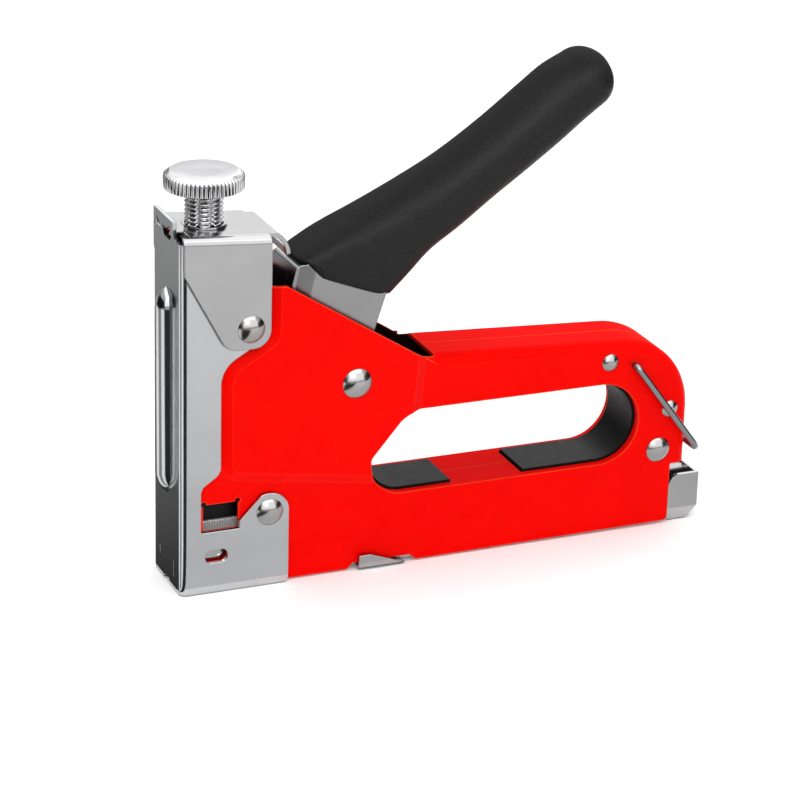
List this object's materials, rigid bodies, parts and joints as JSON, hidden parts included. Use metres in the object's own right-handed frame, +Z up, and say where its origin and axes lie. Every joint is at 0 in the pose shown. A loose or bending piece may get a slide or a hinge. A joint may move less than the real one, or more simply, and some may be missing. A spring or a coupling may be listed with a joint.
{
  "type": "staple gun",
  "caption": "Hand staple gun with stamped steel shells, chromed nose, knurled power screw, squeeze lever with rubber grip, pull-out magazine and wire lever lock.",
  "frame": {"origin": "centre of the bounding box in plan, on the surface that the base stands on", "axes": "+X from the nose to the tail, +Y to the far side, +Z up"},
  "size_m": [0.1678, 0.0298, 0.1462],
  "materials": {
    "red_paint": "gloss red enamel on stamped steel",
    "chrome": "bright chrome plate",
    "steel": "zinc-plated steel",
    "blued_steel": "blued steel sheet",
    "spring_steel": "spring wire",
    "staple_wire": "galvanised wire",
    "black_rubber": "fine-grained soft black rubber",
    "black_plastic": "satin black moulding"
  },
  "bodies": {
    "frame": {"left_body_shell": "red_paint", "right_body_shell": "red_paint", "nose_cover": "chrome", "top_cap": "chrome", "screw_collar": "chrome", "main_spring": "spring_steel", "blade_guide": "steel", "feed_guard": "blued_steel", "lever_rivet": "chrome", "cap_rivet": "chrome", "nose_rivet": "chrome", "rear_upper_rivet": "chrome", "rear_middle_rivet": "chrome", "rear_lower_rivet": "chrome", "rear_spacers": "steel", "pivot_spacer": "steel", "lever_spring": "spring_steel", "front_liner": "black_plastic", "rear_liner": "black_plastic", "magazine_channel": "chrome", "staple_rail": "steel", "rail_bracket": "steel", "staple_strip": "staple_wire"},
    "lever": {"lever_arm": "chrome", "lift_pin": "steel", "grip_sleeve": "black_rubber"},
    "plunger": {"plunger": "steel", "driver_blade": "steel"},
    "spring_seat": {"spring_seat": "steel"},
    "power_screw": {"power_screw": "chrome"},
    "magazine_rod": {"pusher_rod": "steel", "rear_latch": "chrome", "pusher_spring": "spring_steel"},
    "pusher": {"staple_pusher": "steel"},
    "bail": {"wire_bail": "chrome"}
  },
  "joints": [
    {"name": "lever_hinge", "type": "hinge", "parent": "frame", "child": "lever", "pos_m": [-0.02845, 0, 0.0582], "axis": [0, 1, 0], "range_deg": [0, 40], "stiffness_Nm_per_rad": 0.3, "springref_deg": -34.38, "deforming": ["lever_spring"]},
    {"name": "plunger_slide", "type": "slide", "parent": "frame", "child": "plunger", "axis": [0, 0, 1], "range_m": [0, 0.02], "deforming": ["main_spring"]},
    {"name": "seat_slide", "type": "slide", "parent": "frame", "child": "spring_seat", "axis": [0, 0, -1], "range_m": [0, 0.0038]},
    {"name": "screw_turn", "type": "hinge", "parent": "spring_seat", "child": "power_screw", "pos_m": [-0.06985, 0, 0.095], "axis": [0, 0, -1], "range_deg": [0, 1080]},
    {"name": "magazine_slide", "type": "slide", "parent": "frame", "child": "magazine_rod", "axis": [1, 0, 0], "range_m": [0, 0.075]},
    {"name": "pusher_slide", "type": "slide", "parent": "magazine_rod", "child": "pusher", "axis": [1, 0, 0], "range_m": [0, 0.05], "stiffness_N_per_m": 40, "springref_m": -0.05, "deforming": ["pusher_spring"]},
    {"name": "bail_hinge", "type": "hinge", "parent": "frame", "child": "bail", "pos_m": [0.05935, 0, 0.0524], "axis": [0, -1, 0], "range_deg": [0, 119]}
  ],
  "couplings": [
    {"joint": "plunger_slide", "follows": "lever_hinge", "m_per_rad": 0.0286},
    {"joint": "seat_slide", "follows": "screw_turn", "m_per_rad": 0.00019894}
  ]
}
